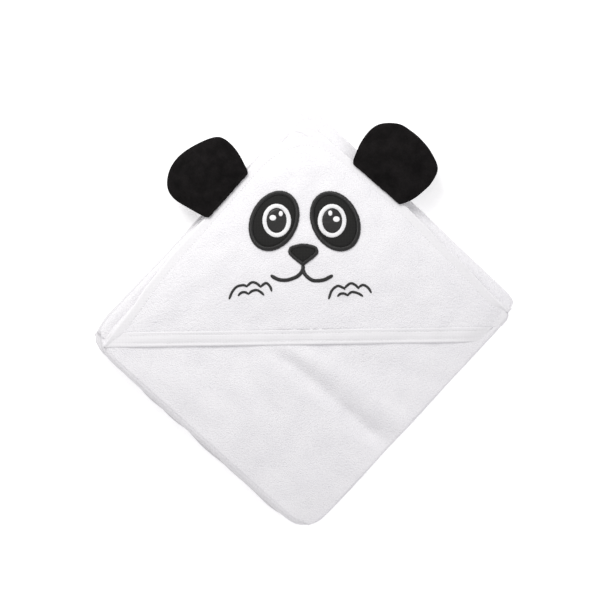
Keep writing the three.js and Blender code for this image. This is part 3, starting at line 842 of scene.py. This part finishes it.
def build_ear(name, root, outline):
    """A stuffed ear: its two covers meet in a seam at the rim, and it is drawn flat where it is sewn in."""
    a, b = np.array(root, float)
    along = (b - a) / np.linalg.norm(b - a)
    out = np.array([-along[1], along[0]])
    rim = smooth_line(outline, 90)
    start, end = rim[0], rim[-1]
    back = end + (start - end) * np.linspace(0, 1, 34)[1:-1, None] - out * 1.7
    loop = np.concatenate([rim, back])
    centre = loop.mean(0) + out * 2
    rings = np.array([1.0, 0.985, 0.955, 0.91, 0.85, 0.77, 0.67, 0.55, 0.42, 0.28, 0.14])
    spread = loop - centre
    points, faces = [], []
    count = len(loop)
    seed = 51 if name == "left" else 57

    def height(p, r):
        away = (p - a) @ out
        dome = (1 - r**2.6) ** 0.5
        root_flat = 0.30 + 0.70 * step(away, 0, 24)
        s = (p - a) @ along
        gathers = 0.5 * np.sin(s * 1.15 + 0.6 * np.sin(s * 0.4)) * np.exp(-away / 9) * (r < 0.99)
        dents = 0.35 * ripple(p[:, 0], p[:, 1], 22, seed)
        return 4.4 * dome * root_flat + (gathers + dents) * dome * 0.9

    def sag(p):
        away = np.clip((p - a) @ out, 0, None)
        return -4.0 * (away / 60) ** 2

    for side, bulge in ((1, 1.0), (-1, 0.62)):  # the underside bulges less
        for r in rings if side > 0 else rings[1:]:
            p = centre + spread * r
            points.append(lifted(p, EAR_Z + sag(p) + side * height(p, np.full(count, r)) * bulge))
        p = centre[None, :]
        points.append(lifted(p, EAR_Z + sag(p) + side * height(p, np.zeros(1)) * bulge))
    n = len(rings)

    def ring_index(side, k):
        if side < 0 and k == 0:
            return np.arange(count)
        first = 0 if side > 0 else n * count + 1
        return first + (k if side > 0 else k - 1) * count + np.arange(count)

    for side in (1, -1):
        for k in range(n - 1):
            p, q = ring_index(side, k), ring_index(side, k + 1)
            for i in range(count):
                j = (i + 1) % count
                face = [p[i], p[j], q[j], q[i]]
                faces.append(face if side > 0 else face[::-1])
        last = ring_index(side, n - 1)
        tip = (n * count) if side > 0 else (n * count + 1 + (n - 1) * count)
        for i in range(count):
            face = [last[i], last[(i + 1) % count], tip]
            faces.append(face if side > 0 else face[::-1])
    made = make(name + "_ear_pad", np.concatenate(points), faces, EAR_FABRIC)
    subdivide = made.modifiers.new("fine", "SUBSURF")
    subdivide.levels = subdivide.render_levels = 1
    stands_for = [f"{name}_ear_{part}" for part in ("front_cover", "back_cover", "wadding")]
    piece(made, name + "_ear", "black_ear_fabric", *stands_for)
    # the rolled seam where the ear is sewn in
    s = np.linspace(1.5, np.linalg.norm(b - a) - 1.5, 60)
    roll = a + along * s[:, None] - out * 1.1
    ends = np.sqrt(np.clip(1 - (1 - np.clip(np.minimum(s - s[0], s[-1] - s) / 2.0, 0, 1)) ** 2, 0.02, 1))
    radii = 1.4 * ends * (1 + 0.1 * ripple(s, 0 * s, 6, seed + 1))
    p, f = tube(lifted(roll, np.full(60, EAR_Z)), radii, sides=12)
    seam = make(name + "_ear_root_roll", p, f, EAR_FABRIC)
    piece(seam, name + "_ear", "black_ear_fabric", name + "_ear_root_seam")


for ear_name, ear in EARS.items():
    build_ear(ear_name, **ear)

# ---------------------------------------------------------------- the face
EYES = {
    "left": dict(patch=(-24.5, 85), tilt=64, eye=(-22.2, 85.3), big=(-25.5, 87.6), small=(-18.6, 91.2)),
    "right": dict(patch=(28.7, 84.7), tilt=116, eye=(26, 85.1), big=(29.7, 86.4), small=(24.4, 91.6)),
}


def oval(centre, a, b, tilt, count):
    phi = np.linspace(0, 2 * math.pi, count, endpoint=False)
    t = math.radians(tilt)
    p, q = a * np.cos(phi), b * np.sin(phi)
    x = centre[0] + p * math.cos(t) - q * math.sin(t)
    y = centre[1] + p * math.sin(t) + q * math.cos(t)
    return np.stack([x, y], 1)


def normals_2d(loop, closed=True):
    if closed:
        t = np.roll(loop, -1, 0) - np.roll(loop, 1, 0)
    else:
        t = np.gradient(loop, axis=0)
    t /= np.maximum(np.linalg.norm(t, axis=1, keepdims=True), 1e-9)
    return np.stack([t[:, 1], -t[:, 0]], 1)  # points out of an anticlockwise loop


def satin_ring(name, loop, width, height, material, thread=0.55):
    """Satin stitching laid side by side across a closed line: each stitch is a ridge over its width."""
    length = np.linalg.norm(np.roll(loop, -1, 0) - loop, axis=1).sum()
    count = int(length / thread) * 4
    closed = np.concatenate([loop, loop[:1]])
    line = along_line(closed, length / (count + 1))[:-1]
    count = len(line)
    out = normals_2d(line)
    turn = np.radians(np.linspace(0, 180, 9))
    ribs = 0.5 + 0.5 * np.cos(2 * math.pi * np.arange(count) / 4)
    jitter = np.random.default_rng(7).uniform(-0.16, 0.16, count // 4 + 1)[np.arange(count) // 4]
    points = []
    for a in turn:
        across = math.cos(a) * (width / 2) + math.cos(a) * jitter
        p = line + out * across[:, None]
        h = height * math.sin(a) ** 0.6 * (0.84 + 0.16 * ribs)
        points.append(lifted(p, hood_top(p[:, 0], p[:, 1]) + h - STITCH_EDGE))
    points.append(lifted(line, hood_top(line[:, 0], line[:, 1]) - STITCH_FOOT))
    faces = ring_faces(len(points), count, closed=True)
    return make(name, np.concatenate(points), [f[::-1] for f in faces], material)


def filled(name, loop, height, material, dome, rings, edge=0.6, ribs=0.0):
    """A patch of fabric or filled stitching inside a closed line, slightly domed, lying on the hood. edge is
    how high it still is at its rim, as a share of its height, and ribs is the distance between its ribs."""
    centre = loop.mean(0)
    shares = np.linspace(1, 0, rings + 1)[:-1]
    count = len(loop)
    points = []
    rows = [(1.0, -0.4), (1.0, edge * height), (0.985, (0.45 + 0.55 * edge) * height)]
    rows += [(share, height) for share in shares * (0.9 + 0.07 * edge)]
    for share, h in rows:
        p = centre + (loop - centre) * share
        z = hood_top(p[:, 0], p[:, 1]) + h + dome * (1 - share**2) * (h > 0)
        if ribs and h == height:
            z = z + 0.06 * np.cos(2 * math.pi * p[:, 0] / ribs)
        points.append(lifted(p, z))
    tip = np.concatenate([centre, [hood_top(*centre) + height + dome]])
    foot = np.concatenate([centre, [hood_top(*centre) - 0.4]])
    faces = ring_faces(len(rows), count)
    top = (len(rows) - 1) * count
    total = len(rows) * count
    for i in range(count):
        j = (i + 1) % count
        faces.append([top + i, top + j, total])
        faces.append([j, i, total + 1])
    points.append(np.stack([tip, foot]))
    return make(name, np.concatenate(points), faces, material)


def build_eye(name, patch, tilt, eye, big, small):
    border = oval(patch, 25.5, 18.8, tilt, 240)
    ring = satin_ring(name + "_patch_border_stitching", border, 4.0, 2.0, BLACK_THREAD)
    piece(ring, "hood", "black_thread", name + "_eye_patch_border")
    inside = oval(patch, 24.3, 17.6, tilt, 96)
    cloth = filled(name + "_patch_cloth", inside, 0.9, PATCH_FABRIC, 0.4, 12, edge=0.1)
    piece(cloth, "hood", "black_applique", name + "_eye_patch")
    rim = oval(eye, 10.5, 12.65, 0, 200)
    white = satin_ring(name + "_eye_white_stitching", rim, 4.6, 2.0, WHITE_THREAD, 0.5)
    piece(white, "hood", "white_thread", name + "_eye_white")
    inside = oval(eye, 8.5, 10.2, 0, 72)
    pupil = filled(name + "_pupil_stitching", inside, 1.7, BLACK_THREAD, 0.3, 12, ribs=0.7)
    piece(pupil, "hood", "black_thread", name + "_pupil")
    for size, place, a, b, around in (("large", big, 3.0, 2.5, 28), ("small", small, 1.8, 2.4, 24)):
        light = filled(f"{name}_highlight_{size}", oval(place, a, b, 0, around), 2.3, WHITE_THREAD, 0.3, 5)
        piece(light, "hood", "white_thread", f"{name}_eye_highlight_{size}")


for eye_name, eye in EYES.items():
    build_eye(eye_name, **eye)

NOSE = [
    (0.6, 46.0), (4.8, 48.6), (8.9, 51.6), (12.6, 54.9), (14.2, 58), (13.5, 61.2), (10.6, 63.6),
    (0.8, 65.4), (-8.8, 63.4), (-11.6, 60.8), (-12.3, 57.8), (-10.9, 54.9), (-7.3, 51.5), (-3.4, 48.4),
]


def closed_smooth(points, count):
    """A smooth closed curve through points."""
    p = np.asarray(points, float)
    wrapped = smooth_line(np.concatenate([p[-3:], p, p[:3]]), count * 3)
    first = int(np.argmin(np.linalg.norm(wrapped[: len(wrapped) // 2] - p[0], axis=1)))
    rest = wrapped[first + 10 :]
    last = first + 10 + int(np.argmin(np.linalg.norm(rest - p[0], axis=1)))
    return along_line(wrapped[first:last], 0.5)


nose_line = closed_smooth(NOSE, 240)
nose_out = normals_2d(nose_line)
border = satin_ring("nose_border_stitching", nose_line - nose_out * 1.6, 3.2, 1.9, BLACK_THREAD)
piece(border, "hood", "black_thread", "nose_border")
nose = filled("nose_cloth", nose_line - nose_out * 2.6, 0.9, PATCH_FABRIC, 0.4, 8, edge=0.1)
piece(nose, "hood", "black_applique", "nose")


def satin_stroke(line, width, height, thread=0.5, taper=0.68):
    """A line of satin stitching with round, narrower ends, as points and faces."""
    length = np.linalg.norm(np.diff(line, axis=0), axis=1).sum()
    per = 4
    count = max(12, int(length / thread) * per)
    line = along_line(line, length / count)
    count = len(line)
    out = normals_2d(line, closed=False)
    s = np.linspace(0, length, count)
    near = np.minimum(s, length - s)
    w = width / 2 * (taper + (1 - taper) * step(near, 0, 3.2))
    w = w * np.sqrt(np.clip(near / 0.8, 0, 1) * 0.98 + 0.02)
    ribs = 0.5 + 0.5 * np.cos(2 * math.pi * np.arange(count) / per)
    points = []
    turns = np.radians(np.linspace(0, 180, 7))
    for a in turns:
        p = line + out * (math.cos(a) * w)[:, None]
        h = height * math.sin(a) ** 0.6 * (0.82 + 0.18 * ribs) * np.sqrt(np.clip(w / (width / 2), 0, 1))
        points.append(lifted(p, hood_top(p[:, 0], p[:, 1]) + h - STITCH_EDGE))
    points.append(lifted(line, hood_top(line[:, 0], line[:, 1]) - STITCH_FOOT))
    rows = len(points)
    faces = []
    for k in range(rows):
        m = (k + 1) % rows
        for i in range(count - 1):
            faces.append([k * count + i, m * count + i, m * count + i + 1, k * count + i + 1])
    faces.append([k * count for k in range(rows)])
    faces.append([k * count + count - 1 for k in range(rows)][::-1])
    return np.concatenate(points), faces


MOUTH = [
    [(0.6, 48.0), (0.4, 42.5), (-4, 37), (-12, 33.8), (-18.5, 33.6), (-23, 35), (-27.5, 37.8)],
    [(0.6, 44.0), (2.3, 38.7), (7.8, 33.9), (13, 33), (19.6, 34), (26.8, 37.8)],
]
TUFTS = {
    "left_cheek_tuft_upper": [
        [(-63.8, 16.7), (-60.7, 23.7), (-56.6, 27.9), (-51, 29.1), (-47.5, 27.5)],
        [(-48.5, 27.8), (-44, 31.5), (-39.5, 30.6), (-35.6, 27)],
        [(-36.6, 27.4), (-31.6, 30.9), (-28, 28), (-26.4, 23.4)],
    ],
    "left_cheek_tuft_lower": [
        [(-56, 19.6), (-53, 22.6), (-49.5, 22.9), (-46, 21)],
        [(-47, 21.2), (-43.6, 24), (-39.5, 24.8), (-36, 23), (-33, 20.2)],
    ],
    "right_cheek_tuft_upper": [
        [(22.9, 16.7), (25.9, 24.6), (30.9, 28.4), (35.5, 26.9), (37.5, 25.2)],
        [(36.4, 26.4), (41.8, 30.6), (46, 29.4), (49.6, 25.8)],
        [(48.6, 26.8), (52.8, 29.3), (57.2, 27), (60.3, 22.2)],
    ],
    "right_cheek_tuft_lower": [
        [(30.6, 19), (33, 21.4), (36.4, 21.8), (40.4, 19.8)],
        [(39.4, 20.2), (42.4, 22.9), (45.6, 23), (49.6, 21.6), (53.2, 19.2)],
    ],
}


def build_strokes(name, lines, width, height, replaced):
    parts = [satin_stroke(smooth_line(line, 120), width, height) for line in lines]
    piece(join_parts(name, parts, BLACK_THREAD), "hood", "black_thread", replaced)


build_strokes("mouth_line_stitching", MOUTH, 3.4, 1.2, "mouth_stitching")
for tuft, lines in TUFTS.items():
    build_strokes(tuft + "_stitching", lines, 2.3, 0.9, tuft)


# ---------------------------------------------------------------- floor, light and camera
def build_floor():
    mesh = bpy.data.meshes.new("floor")
    side, low = 4, -0.0002
    corners = [(-side, -side, low), (side, -side, low), (side, side, low), (-side, side, low)]
    mesh.from_pydata(corners, [], [(0, 1, 2, 3)])
    floor = add_object("floor", mesh)
    m, _, shader = new_material("pale_floor", (0.93, 0.93, 0.93), 0.9, specular=0.1)
    shader.inputs["Emission Color"].default_value = (1, 1, 1, 1)
    shader.inputs["Emission Strength"].default_value = 0.35
    mesh.materials.append(m)


def area_light(name, place, target, size, power, color):
    data = bpy.data.lights.new(name, "AREA")
    data.shape = "SQUARE"
    data.size = size
    data.energy = power
    data.color = color
    made = add_object(name, data)
    made.location = place
    made.rotation_euler = (Vector(target) - Vector(place)).to_track_quat("-Z", "Y").to_euler()


build_floor()
area_light("key", (-0.2, 0.5, 0.5), (0, 0.03, 0), 0.4, 3.1, (1.0, 0.995, 0.985))
area_light("fill", (0.9, -0.3, 1.2), (0, 0, 0), 1.2, 3.0, (0.95, 0.96, 1.0))
world = bpy.data.worlds.new("studio")
bpy.context.scene.world = world
world.use_nodes = True
world.node_tree.nodes["Background"].inputs["Color"].default_value = (1.0, 0.985, 1.0, 1)
world.node_tree.nodes["Background"].inputs["Strength"].default_value = 0.645

VIEW_WIDTH = 0.533  # how much the picture shows across at the top of the towel
DISTANCE = 1.6
camera_data = bpy.data.cameras.new("camera")
camera_data.sensor_width = 36
camera_data.lens = 36 * DISTANCE / VIEW_WIDTH
camera = add_object("camera", camera_data)
camera.location = (0.0033, 0.011, DISTANCE + 0.028)
bpy.context.scene.camera = camera
bpy.context.scene.view_settings.view_transform = "Standard"
